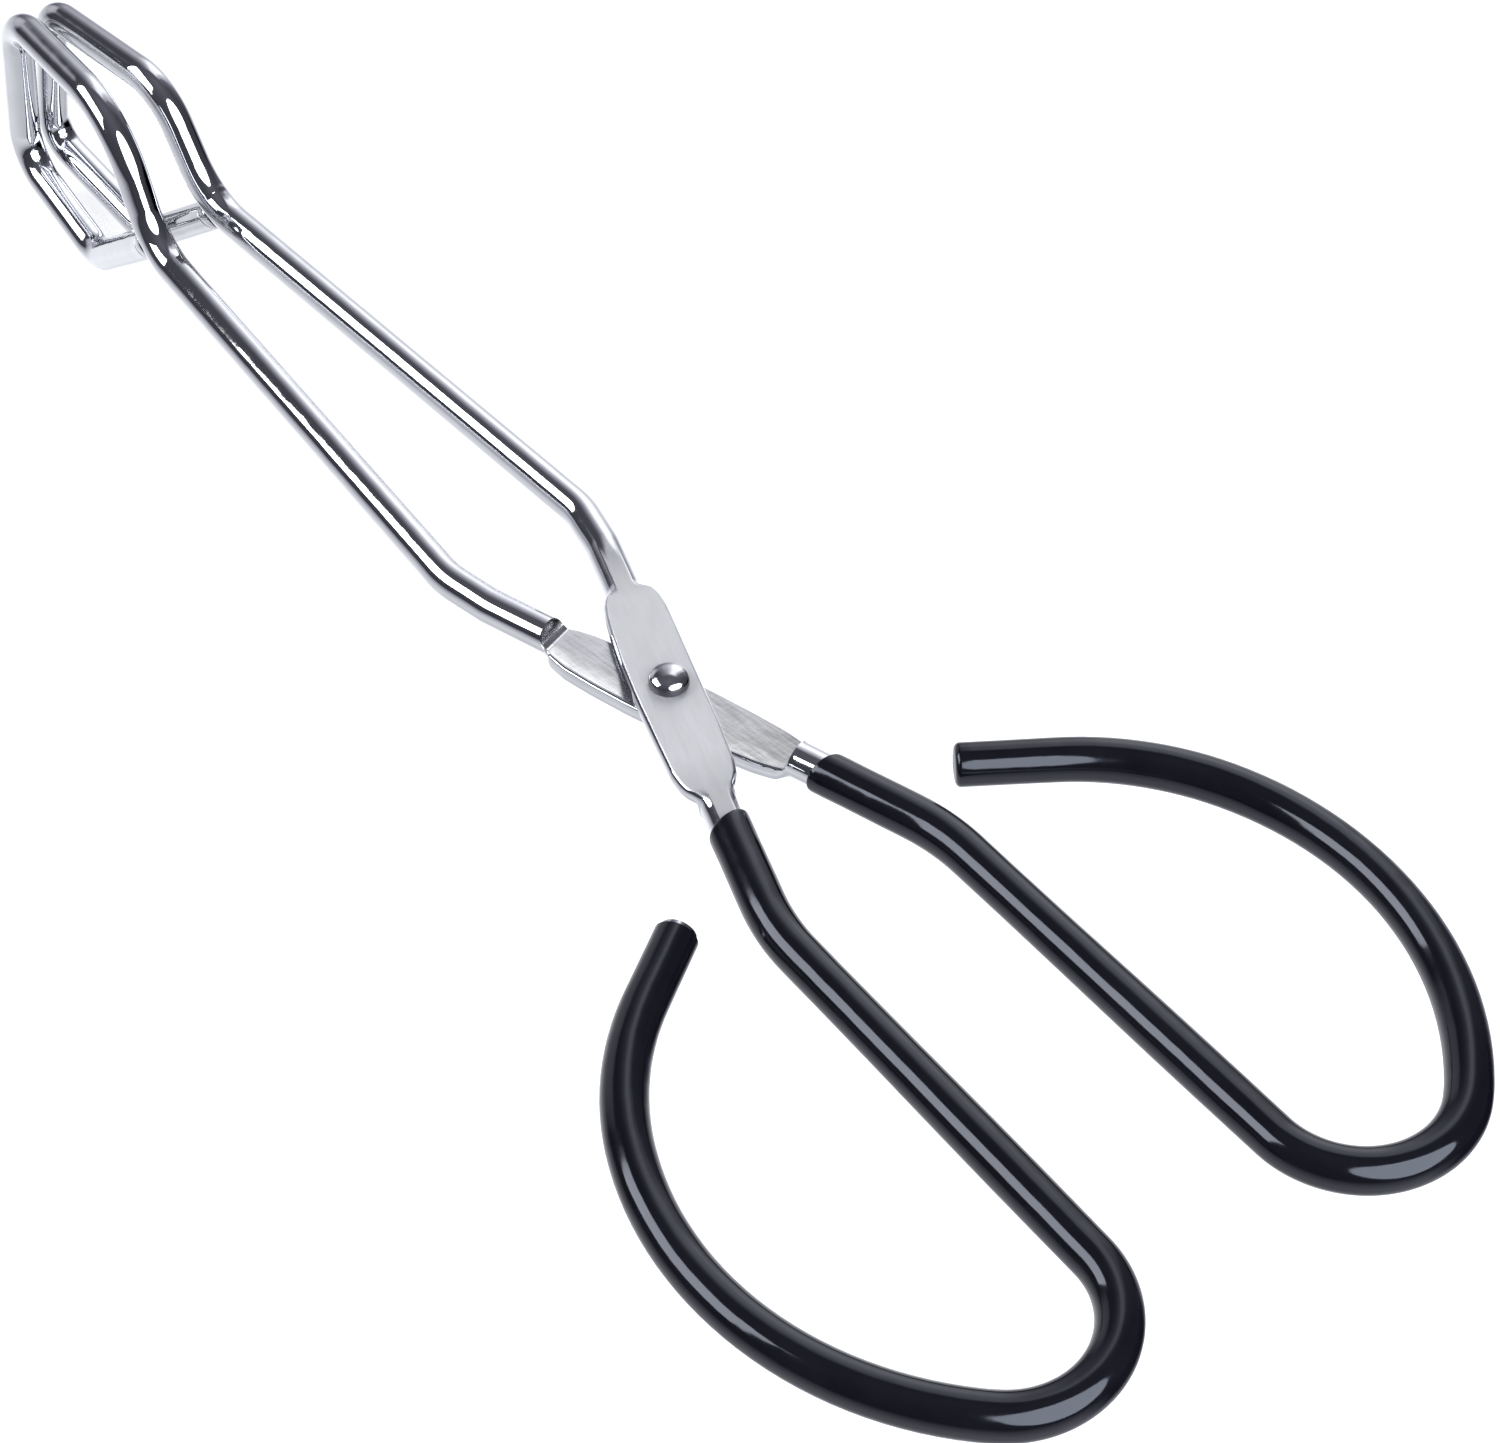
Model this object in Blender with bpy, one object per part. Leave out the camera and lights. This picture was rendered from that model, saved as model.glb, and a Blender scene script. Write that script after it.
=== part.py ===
"""Scissor-type crucible tongs with looped wire jaws and dipped vinyl handles.

Frame: the origin lies on the pivot axis, on the flat back face of the rivet. +Z runs along the
rivet towards its domed head, +X towards the jaws. Lengths in this file are in millimetres until
they are written into a mesh. The jaws are shut, and both arms' rods lie in the plane z = ARM_Z.
"""
import math

import bmesh
import bpy
from mathutils import Vector

MM = 0.001

# Rod, grips and running gaps
ROD_R = 2.5
GRIP_INNER_R = 2.6
GRIP_R = 3.0
SIDES = 12
ARC_STEP = math.radians(13)
HALF_LAP_GAP = 0.15

# Rivet
RIVET_R = 1.5
RIVET_HOLE_R = 1.8
HEAD_R = 2.85
HEAD_RIM = 0.7
HEAD_DOME = 1.5
TAIL_R = 2.7
TAIL_HEIGHT = 1.0
HEAD_GAP = 0.2
ARM_Z = TAIL_HEIGHT + HEAD_GAP + ROD_R

# Plan of one arm, as (x, y): the other arm mirrors it in y
ELBOW = (36.3, -11.1)
BLADE_START = (17.4, -5.8)
HANDLE_BEND = (-40.9, 13.5)
HANDLE_Y = 14.1
BLADE_ANGLE = math.atan2(BLADE_START[1] - HANDLE_BEND[1], BLADE_START[0] - HANDLE_BEND[0])
BEND_R = 16.0

# Finger loop: where the straight handle ends, then (radius, turn in degrees) of each arc
HANDLE_STRAIGHT_END = -102.0
LOOP_ARCS = ((13.5, 128.4), (26.4, 5.9), (47.1, 70.4), (41.9, 31.0))
LOOP_TIP_STRAIGHT = 13.4
ROD_SHORT_OF_TIP = 1.5
GRIP_START = 24.7

# Blade: the rod pressed flat at the pivot, each arm keeping one half of the rod's height.
# The pressing leaves the slab wider than the rod, with bulging sides, and a little off centre.
BLADE_REACH = {"upper": 19.9, "lower": 20.6}
BLADE_SHIFT = {"upper": 0.35, "lower": -0.25}
BLADE_FLARE = 1.6
BLADE_BULGE = {"upper": 0.5, "lower": 0.35}
LAP_TO_JAWS = 18.9
LAP_TO_HANDLE = 19.9
STEP_LENGTH = 0.7
NECK_START = 24.0
BLADE_STATIONS = (17.6, 15.6, 12.0, 7.0, 3.5)

# Jaw loops: corners (x, height above the arm plane) in the upright plane of the arm's shank, from
# the bottom back corner round to the heel. They are bent by hand and differ by a millimetre or two.
JAW_CORNERS = {
    "upper": ((147.0, -18.5), (173.6, -13.9), (166.5, 13.9), (135.6, 16.7), (126.0, 0.6)),
    "lower": ((147.3, -18.7), (173.0, -15.3), (165.6, 16.0), (131.9, 18.6), (123.0, -0.8)),
}
JAW_RADII = {"upper": (8.0, 5.0, 6.0, 10.0, 12.0), "lower": (8.0, 6.6, 8.4, 14.0, 10.0)}
SHANK_OFFSET = {"upper": (3.5, -13.2), "lower": (3.42, -13.3)}
BAR_SLOPE = -0.8
WELD_GAP = 0.9
WELD_CLEARANCE = 0.25


def material(name, colour, metallic, roughness):
    """A plain Principled material."""
    made = bpy.data.materials.new(name)
    made.use_nodes = True
    shader = made.node_tree.nodes["Principled BSDF"]
    shader.inputs["Base Color"].default_value = (*colour, 1.0)
    shader.inputs["Metallic"].default_value = metallic
    shader.inputs["Roughness"].default_value = roughness
    return made


def mesh_object(name, bm, finish):
    """Turn a bmesh built in millimetres into a named object in metres."""
    bmesh.ops.scale(bm, vec=(MM, MM, MM), verts=bm.verts)
    bmesh.ops.recalc_face_normals(bm, faces=bm.faces)
    mesh = bpy.data.meshes.new(name)
    bm.to_mesh(mesh)
    bm.free()
    mesh.shade_smooth()
    mesh.set_sharp_from_angle(angle=math.radians(40))
    mesh.materials.append(finish)
    made = bpy.data.objects.new(name, mesh)
    bpy.context.scene.collection.objects.link(made)
    return made


def rounded_path(corners, radii):
    """Points of a polyline whose inner corners are replaced by arcs."""
    points = [corners[0]]
    for before, corner, after, radius in zip(corners, corners[1:], corners[2:], radii):
        back = (before - corner).normalized()
        ahead = (after - corner).normalized()
        opening = back.angle(ahead)
        turn = math.pi - opening
        centre = corner + (back + ahead).normalized() * radius / math.sin(opening / 2)
        start = corner + back * radius / math.tan(opening / 2) - centre
        end = corner + ahead * radius / math.tan(opening / 2) - centre
        steps = max(1, math.ceil(turn / ARC_STEP))
        for i in range(steps + 1):
            t = i / steps
            weight = (math.sin((1 - t) * turn), math.sin(t * turn))
            points.append(centre + (start * weight[0] + end * weight[1]) / math.sin(turn))
    points.append(corners[-1])
    return points


def shank_point(arm, x, height):
    """A point of the upright plane that holds an arm's shank and its jaw loop."""
    angle, offset = SHANK_OFFSET[arm]
    angle = math.radians(angle)
    return Vector((x, math.tan(angle) * x + offset / math.cos(angle), height))


def bar_end(arm):
    """End of the loop's rod, a weld's width outside the bend of its own shank, and the way to it."""
    corners = [shank_point(arm, x, height) for x, height in JAW_CORNERS[arm]]
    back = (corners[-2] - corners[-1]).normalized()
    ahead = (Vector((*ELBOW, 0)) - corners[-1]).normalized()
    bend_r = JAW_RADII[arm][-1]
    centre = corners[-1] + (back + ahead).normalized() * bend_r / math.sin(back.angle(ahead) / 2)
    way = (shank_point(arm, -1, -BAR_SLOPE) - shank_point(arm, 0, 0)).normalized()
    offset = centre - corners[0]
    reach = bend_r + ROD_R + WELD_GAP
    along = offset.dot(way)
    along -= math.sqrt(reach ** 2 - offset.length_squared + along ** 2)
    end = corners[0] + way * along
    return end, (centre - end).normalized()


def jaw_path(arm):
    """Jaw loop and shank, from the welded rod end to the start of the blade."""
    corners = [bar_end(arm)[0]]
    corners += [shank_point(arm, x, height) for x, height in JAW_CORNERS[arm]]
    corners += [Vector((*ELBOW, 0)), blade_point(NECK_START)]
    return rounded_path(corners, (*JAW_RADII[arm], BEND_R))


def blade_point(along):
    """A point of the blade's centre line, at a distance from the pivot towards the jaws."""
    return Vector((math.cos(BLADE_ANGLE) * along, math.sin(BLADE_ANGLE) * along, 0))


def handle_path():
    """Handle, from the end of the blade to the tip of the finger loop."""
    corners = [blade_point(-NECK_START), Vector((*HANDLE_BEND, 0)),
               Vector((HANDLE_STRAIGHT_END, HANDLE_Y, 0))]
    points = rounded_path(corners, (BEND_R,))
    heading = (corners[2] - corners[1]).to_2d()
    angle = math.atan2(heading.y, heading.x)
    point = points[-1]
    for radius, turn in LOOP_ARCS:
        steps = max(1, math.ceil(math.radians(turn) / ARC_STEP))
        piece = math.radians(turn) / steps
        for _ in range(steps):
            chord = 2 * radius * math.sin(piece / 2)
            step = angle - piece / 2
            point = point + Vector((math.cos(step), math.sin(step), 0)) * chord
            angle -= piece
            points.append(point)
    points.append(point + Vector((math.cos(angle), math.sin(angle), 0)) * LOOP_TIP_STRAIGHT)
    return points


def directions(points):
    """Unit tangents, averaged where two straight pieces meet."""
    pieces = [(b - a).normalized() for a, b in zip(points, points[1:])]
    middle = [(a + b).normalized() for a, b in zip(pieces, pieces[1:])]
    return [pieces[0], *middle, pieces[-1]]


def round_section(radius):
    """A regular polygon with its corners on the rod's surface."""
    turns = [2 * math.pi * i / SIDES for i in range(SIDES)]
    return [(radius * math.cos(t), radius * math.sin(t)) for t in turns]


def blade_section(along, arm):
    """Section of the blade at a distance from the pivot: the whole rod outside the lap, a slab in it."""
    if not -LAP_TO_HANDLE <= along <= LAP_TO_JAWS:
        return round_section(ROD_R)
    low, high = (HALF_LAP_GAP, ROD_R) if arm == "upper" else (-ROD_R, -HALF_LAP_GAP)
    middle = (low + high) / 2
    face = ROD_R + BLADE_FLARE * (1 - (abs(along) / BLADE_REACH[arm]) ** 5)
    wide = face + BLADE_BULGE[arm]
    shoulder = face + 0.75 * BLADE_BULGE[arm]
    quarter = 0.27 * (high - low)
    top = [(wide, middle), (shoulder, high - quarter), (face, high), (0, high), (-face, high)]
    side = [(-shoulder, high - quarter), (-wide, middle), (-shoulder, low + quarter)]
    bottom = [(-face, low), (0, low), (face, low), (shoulder, low + quarter)]
    return [(x - BLADE_SHIFT[arm], y) for x, y in [*top, *side, *bottom]]


def loft(rings):
    """Skin a list of rings of points, with a flat cap on each end."""
    bm = bmesh.new()
    layers = [[bm.verts.new(point) for point in ring] for ring in rings]
    for one, two in zip(layers, layers[1:]):
        for i in range(SIDES):
            j = (i + 1) % SIDES
            bm.faces.new((one[i], one[j], two[j], two[i]))
    bm.faces.new(layers[0])
    bm.faces.new(layers[-1])
    return bm


def placed_ring(point, forward, section):
    """Put a flat section across a path: its second axis is up, or away from the arm's plane."""
    side = Vector((0, 0, 1)).cross(forward)
    side.normalize()
    up = forward.cross(side)
    return [point + side * a + up * b for a, b in section]


def jaw_rings(arm):
    """Rings of the jaw loop and shank, which share one sideways direction."""
    points = jaw_path(arm)
    angle = math.radians(SHANK_OFFSET[arm][0])
    across = Vector((math.sin(angle), -math.cos(angle), 0))
    section = round_section(ROD_R)
    rings = []
    for point, forward in zip(points, directions(points)):
        flat_run = point.x < ELBOW[0] + BEND_R
        side = Vector((0, 0, 1)).cross(forward).normalized() if flat_run else across
        up = forward.cross(side).normalized()
        rings.append([point + side * a + up * b for a, b in section])
    rings[0] = mitred(rings[0], points[1] - points[0], *bar_end(arm))
    return rings


def mitred(ring, forward, foot, normal):
    """Slide a ring's points along the rod onto the plane through foot."""
    return [point + forward * ((foot - point).dot(normal) / forward.dot(normal)) for point in ring]


def blade_rings(arm):
    """Rings of the blade between its two necks."""
    start = [LAP_TO_JAWS + STEP_LENGTH, LAP_TO_JAWS]
    end = [-LAP_TO_HANDLE, -LAP_TO_HANDLE - STEP_LENGTH]
    stations = [*start, *BLADE_STATIONS, *[-s for s in reversed(BLADE_STATIONS)], *end]
    forward = -blade_point(1.0)
    return [placed_ring(blade_point(s), forward, blade_section(s, arm)) for s in stations]


def finish_arm_bm(bm, arm):
    """Mirror the lower arm, and lift both arms to the height of the arm plane."""
    side = 1 if arm == "upper" else -1
    for vert in bm.verts:
        vert.co.y *= side
        vert.co.z += ARM_Z


def cut_rivet_hole(arm_object):
    """Bore the blade with a cylinder on the pivot axis."""
    bm = bmesh.new()
    bmesh.ops.create_cone(bm, cap_ends=True, segments=24, radius1=RIVET_HOLE_R * MM,
                          radius2=RIVET_HOLE_R * MM, depth=4 * ARM_Z * MM)
    mesh = bpy.data.meshes.new(arm_object.name + "_hole")
    bm.to_mesh(mesh)
    bm.free()
    cutter = bpy.data.objects.new(mesh.name, mesh)
    cutter.location.z = ARM_Z * MM
    cutter.hide_render = True
    cutter.display_type = "WIRE"
    bpy.context.scene.collection.objects.link(cutter)
    cut = arm_object.modifiers.new("rivet_hole", "BOOLEAN")
    cut.operation = "DIFFERENCE"
    cut.object = cutter


def trimmed(points, from_start=0.0, from_end=0.0):
    """Shorten a path whose first and last pieces are straight."""
    start = points[0] + (points[1] - points[0]).normalized() * from_start
    end = points[-1] + (points[-2] - points[-1]).normalized() * from_end
    return [start, *points[1:-1], end]


def build_arm(arm, finish):
    """One bent rod: jaw loop, shank, blade and handle core."""
    handle = trimmed(handle_path(), from_end=ROD_SHORT_OF_TIP + GRIP_R - GRIP_INNER_R)
    section = round_section(ROD_R)
    handle_rings = [placed_ring(p, d, section) for p, d in zip(handle, directions(handle))]
    bm = loft(jaw_rings(arm) + blade_rings(arm) + handle_rings)
    finish_arm_bm(bm, arm)
    made = mesh_object(f"{arm}_arm", bm, finish)
    cut_rivet_hole(made)
    return made


def build_grip(arm, finish):
    """Vinyl sleeve over the handle, open at the neck and closed by a rounded tip."""
    start = GRIP_START - NECK_START
    outer_path = trimmed(handle_path(), from_start=start, from_end=GRIP_R * 0.6)
    inner_path = trimmed(handle_path(), from_start=start, from_end=ROD_SHORT_OF_TIP)
    outer = [placed_ring(p, d, round_section(GRIP_R)) for p, d in zip(outer_path, directions(outer_path))]
    inner = [placed_ring(p, d, round_section(GRIP_INNER_R))
             for p, d in zip(inner_path, directions(inner_path))]
    tip, forward = outer_path[-1], directions(outer_path)[-1]
    for rise, radius in ((0.4, 2.75), (0.6, 1.9)):
        outer.append(placed_ring(tip + forward * GRIP_R * rise, forward, round_section(radius)))
    bm = loft([*reversed(inner), *outer])
    finish_arm_bm(bm, arm)
    return mesh_object(f"{arm}_grip", bm, finish)


def build_rivet(finish):
    """Shank, flat-faced tail and domed head, turned from one profile about the pivot axis."""
    shank_top = ARM_Z + ROD_R + HEAD_GAP
    rim_top = shank_top + HEAD_RIM
    sphere_r = (HEAD_R ** 2 + HEAD_DOME ** 2) / (2 * HEAD_DOME)
    profile = [(0, 0), (TAIL_R - 0.5, 0), (TAIL_R, 0.5), (TAIL_R, TAIL_HEIGHT), (RIVET_R, TAIL_HEIGHT),
               (RIVET_R, shank_top), (HEAD_R - 0.15, shank_top), (HEAD_R, shank_top + 0.15), (HEAD_R, rim_top)]
    for radius in (2.3, 1.6, 0.8, 0):
        drop = sphere_r - math.sqrt(sphere_r ** 2 - radius ** 2)
        profile.append((radius, rim_top + HEAD_DOME - drop))
    bm = bmesh.new()
    verts = [bm.verts.new((r, 0, z)) for r, z in profile]
    edges = [bm.edges.new(pair) for pair in zip(verts, verts[1:])]
    bmesh.ops.spin(bm, geom=verts + edges, cent=(0, 0, 0), axis=(0, 0, 1), angle=2 * math.pi,
                   steps=24, use_merge=True, use_duplicate=False)
    bmesh.ops.remove_doubles(bm, verts=bm.verts, dist=0.001)
    return mesh_object("pivot_rivet", bm, finish)


def build_weld(arm, finish):
    """Filler between the mitred end of the jaw's rod and the bend of the shank beside it."""
    path = jaw_path(arm)
    forward = path[1] - path[0]
    foot, normal = bar_end(arm)
    start = mitred(jaw_rings(arm)[0], forward, foot + normal * WELD_CLEARANCE, normal)
    bm = loft([start, mitred(start, forward, foot + normal * (WELD_GAP - WELD_CLEARANCE), normal)])
    finish_arm_bm(bm, arm)
    return mesh_object(f"{arm}_jaw_weld", bm, finish)


def main():
    for old in list(bpy.data.objects):
        bpy.data.objects.remove(old)
    steel = material("polished_steel", (0.62, 0.62, 0.64), 1.0, 0.08)
    weld = material("weld_steel", (0.48, 0.48, 0.5), 1.0, 0.35)
    vinyl = material("black_vinyl", (0.012, 0.012, 0.016), 0.0, 0.22)
    build_rivet(steel)
    for arm in ("lower", "upper"):
        build_arm(arm, steel)
        build_grip(arm, vinyl)
        build_weld(arm, weld)


main()
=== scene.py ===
"""Crucible tongs: fine polished steel rods, satin blades, a domed rivet and dipped vinyl handles.

Lengths are in millimetres until a mesh is written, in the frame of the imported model: the origin on
the pivot axis at the rivet's back face, +Z up the rivet, +X towards the jaws.
"""

import math

import bmesh
import bpy
import numpy as np
from mathutils import Matrix, Quaternion, Vector


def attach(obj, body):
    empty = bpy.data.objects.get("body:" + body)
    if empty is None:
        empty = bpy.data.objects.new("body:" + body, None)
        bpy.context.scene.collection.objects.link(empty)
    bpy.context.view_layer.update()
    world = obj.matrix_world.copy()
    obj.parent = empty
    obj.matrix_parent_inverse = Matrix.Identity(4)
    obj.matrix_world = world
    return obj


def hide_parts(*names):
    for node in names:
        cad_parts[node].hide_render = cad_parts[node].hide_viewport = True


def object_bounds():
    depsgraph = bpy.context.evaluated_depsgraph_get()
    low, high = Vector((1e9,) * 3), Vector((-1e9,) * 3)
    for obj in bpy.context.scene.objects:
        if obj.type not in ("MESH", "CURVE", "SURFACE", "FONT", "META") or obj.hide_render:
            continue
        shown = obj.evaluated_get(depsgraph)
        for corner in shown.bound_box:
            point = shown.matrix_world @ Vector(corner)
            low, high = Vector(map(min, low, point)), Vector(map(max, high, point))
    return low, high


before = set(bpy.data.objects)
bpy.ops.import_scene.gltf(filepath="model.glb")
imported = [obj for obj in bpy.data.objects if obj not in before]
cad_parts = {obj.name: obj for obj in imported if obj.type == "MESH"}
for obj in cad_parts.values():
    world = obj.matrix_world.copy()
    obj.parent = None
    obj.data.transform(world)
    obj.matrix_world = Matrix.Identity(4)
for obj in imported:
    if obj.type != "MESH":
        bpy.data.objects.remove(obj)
cad_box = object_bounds()

MM = 0.001

# ---------------------------------------------------------------- driving dimensions
ROD_R = 2.5
GRIP_R = 3.0
GRIP_BORE_R = 2.55
# Height of the rods' centre lines above the rivet's back face
ARM_Z = 3.7

# Path of the upper arm's rod, level through the blade and the handle; the lower arm is its mirror image
ELBOW = (36.3, -11.1)
BLADE_START = (17.4, -5.8)
HANDLE_BEND = (-40.9, 13.5)
HANDLE_Y = 14.1
BLADE_ANGLE = math.atan2(BLADE_START[1] - HANDLE_BEND[1], BLADE_START[0] - HANDLE_BEND[0])
ELBOW_R = 16.0
HANDLE_BEND_R = 32.0
HANDLE_STRAIGHT_END = -102.0
# Finger loop from the straight handle to the tip, as (radius, degrees turned)
LOOP_ARCS = ((13.5, 128.4), (26.4, 5.9), (47.1, 70.4), (41.9, 31.0))
LOOP_TIP_STRAIGHT = 13.4
# Distances from the pivot: where the vinyl starts, and where the blade hands over to the round rod
GRIP_START = 24.7
HANDLE_NECK = 24.0
JAW_NECK = 30.0

# Corners of a jaw loop from its welded end, as (x, height) in the upright plane of the shank
JAW_CORNERS = {
    "upper": ((147.0, -18.5), (173.6, -13.9), (166.5, 13.9), (135.6, 16.7), (126.0, 0.6)),
    "lower": ((147.3, -18.7), (173.0, -15.3), (165.6, 16.0), (131.9, 18.6), (123.0, -0.8)),
}
JAW_RADII = {"upper": (8.0, 5.0, 6.0, 10.0, 12.0), "lower": (8.0, 6.6, 8.4, 14.0, 10.0)}
# That plane's angle in degrees and its distance from the pivot axis
SHANK_OFFSET = {"upper": (3.5, -13.2), "lower": (3.42, -13.3)}
# Height over length of the bar that ends at the weld, and the gap the weld fills
BAR_SLOPE = -0.8
WELD_GAP = 0.9

# Mesh fineness
SIDES = 64
TOP = SIDES // 4
ARC_STEP = math.radians(2.5)
LONGEST_RING = 3.0
FINE_CORNERS = {1: math.radians(0.7), 4: math.radians(1.2)}
SPIN_STEPS = 96

# Outline of the pressed faces: (distance towards the jaws, edge on -a, edge on +a)
FACE_OUTLINE = {
    "upper": ((30.0, 0.9, 1.3), (24.0, 0.9, 1.3), (21.0, 1.0, 1.5), (19.9, 1.3, 2.1), (18.7, 2.6, 2.9),
              (16.9, 3.35, 3.6), (14.5, 3.8, 3.85), (11.8, 4.1, 3.85), (5.7, 4.5, 3.8), (-0.8, 4.6, 3.75),
              (-8.6, 4.45, 3.7), (-15.4, 4.25, 3.4), (-17.6, 3.8, 3.0), (-18.8, 3.3, 2.4),
              (-20.2, 2.4, 1.5), (-21.5, 1.5, 1.3), (-24.0, 1.1, 1.2)),
    "lower": ((24.0, 2.2, 2.2), (20.6, 2.3, 2.3), (19.6, 2.4, 2.5), (18.6, 2.6, 2.6), (17.0, 3.0, 3.05),
              (14.8, 3.4, 3.6), (10.0, 3.7, 4.0), (4.0, 3.8, 4.2), (-4.0, 3.8, 4.15), (-11.0, 3.6, 3.9),
              (-16.0, 3.35, 3.45), (-18.5, 3.0, 2.95), (-20.6, 2.5, 2.45), (-22.0, 2.3, 2.3),
              (-24.0, 2.2, 2.2)),
}
OUTLINE_GRID = np.arange(-24.5, 30.1, 0.05)
OUTLINE_SOFTENING = 7  # grid steps

# Half-lap: where its flat ends on both sides of the pivot, and the length of the hollow at each end
LAP_JAWS, LAP_HANDLE = 18.5, -19.9
COVE_JAWS, COVE_HANDLE = 1.6, 0.6
COVE_STEEPNESS = 0.985
LAP_HEIGHT = 0.15
# Height of a pressed face over the centre line at the pivot and at the necks, and the stations between
FACE_HEIGHT = 2.42
NECK_HEIGHT = 2.23
NECK_SPAN = (14.0, 23.0)
# Stations between which the slab turns into round rod, towards the jaws and towards the handle
SLAB_SPAN = {"upper": ((18.0, 20.6), (-18.6, -22.6)), "lower": ((17.4, 19.5), (-18.8, -20.9))}
MIN_HALF_WIDTH = 2.0

# Pressed side walls: a bulge along an arc of WALL_SWING degrees from WALL_START, kept off both faces
BULGE = {"upper": 0.5, "lower": 0.38}
WALL_START, WALL_SWING, WALL_SPREAD = 62, 132, 66
WALL_STANDOFF, WALL_MARGIN = 0.07, 0.03
# The filed blade's near wall: a round top edge, a shallow bulge, and the last points as (in, up)
LAP_EDGE_R, LAP_EDGE_LIFT, LAP_EDGE_INSET = 0.34, 0.06, 0.02
LAP_EDGE_TURN = (75, 58, 42, 26, 11)
LAP_WALL_BULGE, LAP_WALL_END = 0.14, 0.3
LAP_WALL_FOOT = ((0.1, 0.12), (0.25, 0.03))
# The burr rolled up along that edge: distances in from the edge, and heights
RIM_IN = np.array((0.34, 0.26, 0.2, 0.14, 0.08, 0.02))
RIM_UP = np.array((0.0, 0.02, 0.06, 0.085, 0.085, 0.06))

# Reach of the worked finish and of the dark strip of painted shade on the upper blade's wall, as stations
# to fade between
FACE_FADE = (29.0, 24.0)
NECK_FLAT_HALF = 1.2
LAP_MASK_HALF = 19.5
COVE_FADE = (-0.12, 0.02)
STRIP_FADES = ((-4.0, -1.0), (16.0, 13.0))
STRIP_POINTS = slice(3 * TOP + 1, 3 * TOP + 12)

# Small folds inside the bends, as (corner, spacing, depth, reach, shift along the rod)
CRINKLES = {
    "lower": ((1, 1.7, 0.05, 0.5, 0.0),),
    "upper": ((1, 1.7, 0.05, 0.5, 0.2), (4, 1.7, 0.045, 0.7, 0.1)),
}
CRINKLE_NEAR = 7.0
CRINKLE_FACING = (0.55, 0.95)

# Vinyl: a dip line square to the tongs, a thin lip, a slight swelling behind it and a slow wave
CORE_SHORTER = 1.9
DIP_SLANT = math.tan(-BLADE_ANGLE)
DIP_SLANT_RUN = 5.0
LIP_LEAD = np.array((0.0, 0.03, 0.09, 0.2, 0.36, 0.6))
LIP_THIN, LIP_RUN = 0.24, 0.11
LIP_CLEAR, LIP_CLEAR_AHEAD = 1.2, 0.8
SWELLING, SWELLING_AT, SWELLING_RUN = 0.05, 1.4, 1.6
WAVE, WAVE_RUN = 0.05, 9.0
TIP_ROUND = {"upper": 2.5, "lower": 1.0}
TIP_SHORTER = {"upper": 1.2, "lower": 0.0}
TIP_CONE = 0.18

# Rivet: top of the dome, head radius, height of the elliptical dome, pin, and its hole in the blades
CROWN, HEAD_R, DOME_HEIGHT = 8.3, 2.73, 1.34
PIN_R, PIN_HOLE_R = 1.45, 1.6
HEAD_GAP = 0.03
TAIL = ((0.0, 0.0), (1.6, 0.0), (2.15, 0.04), (2.45, 0.16), (2.62, 0.36), (2.68, 0.6), (2.66, 0.95),
        (2.5, 1.08), (PIN_R, 1.1))

# Weld bead: (share of the gap, swelling over the rod's radius) of its rings, and its gap to the shank
WELD_RINGS = ((0.02, -0.12), (0.06, -0.02), (0.2, 0.04), (0.5, 0.06), (0.8, 0.06), (0.95, 0.0))
WELD_EDGE = 0.03


# ---------------------------------------------------------------- paths
def unit(v):
    """The same direction with length 1."""
    return v / np.linalg.norm(v)


def arc_between(before, corner, after, radius, step):
    """Points of the arc that rounds one corner."""
    back, ahead = unit(before - corner), unit(after - corner)
    opening = math.acos(float(np.clip(back @ ahead, -1, 1)))
    turn = math.pi - opening
    centre = corner + unit(back + ahead) * radius / math.sin(opening / 2)
    start = corner + back * radius / math.tan(opening / 2) - centre
    end = corner + ahead * radius / math.tan(opening / 2) - centre
    steps = max(2, math.ceil(turn / step))
    t = np.linspace(0, 1, steps + 1)[:, None]
    return centre + (start * np.sin((1 - t) * turn) + end * np.sin(t * turn)) / math.sin(turn)


def rounded_path(corners, radii, steps=None):
    """A polyline with its inner corners rounded."""
    corners = [np.array(c, float) for c in corners]
    parts = [corners[0][None]]
    for i, radius in enumerate(radii):
        step = (steps or {}).get(i, ARC_STEP)
        parts.append(arc_between(corners[i], corners[i + 1], corners[i + 2], radius, step))
    parts.append(corners[-1][None])
    return np.concatenate(parts)


def filled(points):
    """The same path with long straight runs cut into shorter pieces."""
    out = [points[:1]]
    for a, b in zip(points, points[1:]):
        count = max(1, math.ceil(np.linalg.norm(b - a) / LONGEST_RING))
        out.append(a + (b - a) * (np.arange(1, count + 1) / count)[:, None])
    return np.concatenate(out)


def tangents(points):
    """Unit directions along a path, one for each of its points."""
    pieces = np.diff(points, axis=0)
    pieces /= np.linalg.norm(pieces, axis=1)[:, None]
    both = np.concatenate([pieces[:1], pieces[:-1] + pieces[1:], pieces[-1:]])
    return both / np.linalg.norm(both, axis=1)[:, None]


def shank_point(arm, x, height):
    """A point of the upright plane that holds an arm's shank and its jaw loop."""
    angle, offset = SHANK_OFFSET[arm]
    angle = math.radians(angle)
    return np.array((x, math.tan(angle) * x + offset / math.cos(angle), height))


def blade_point(along):
    """A point of the blade's centre line, by its distance from the pivot towards the jaws."""
    return np.array((math.cos(BLADE_ANGLE) * along, math.sin(BLADE_ANGLE) * along, 0.0))


def jaw_corners(arm):
    """Corners of the jaw loop from its welded end to the shank, and then the elbow."""
    return [shank_point(arm, x, height) for x, height in JAW_CORNERS[arm]] + [np.array((*ELBOW, 0.0))]


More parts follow.
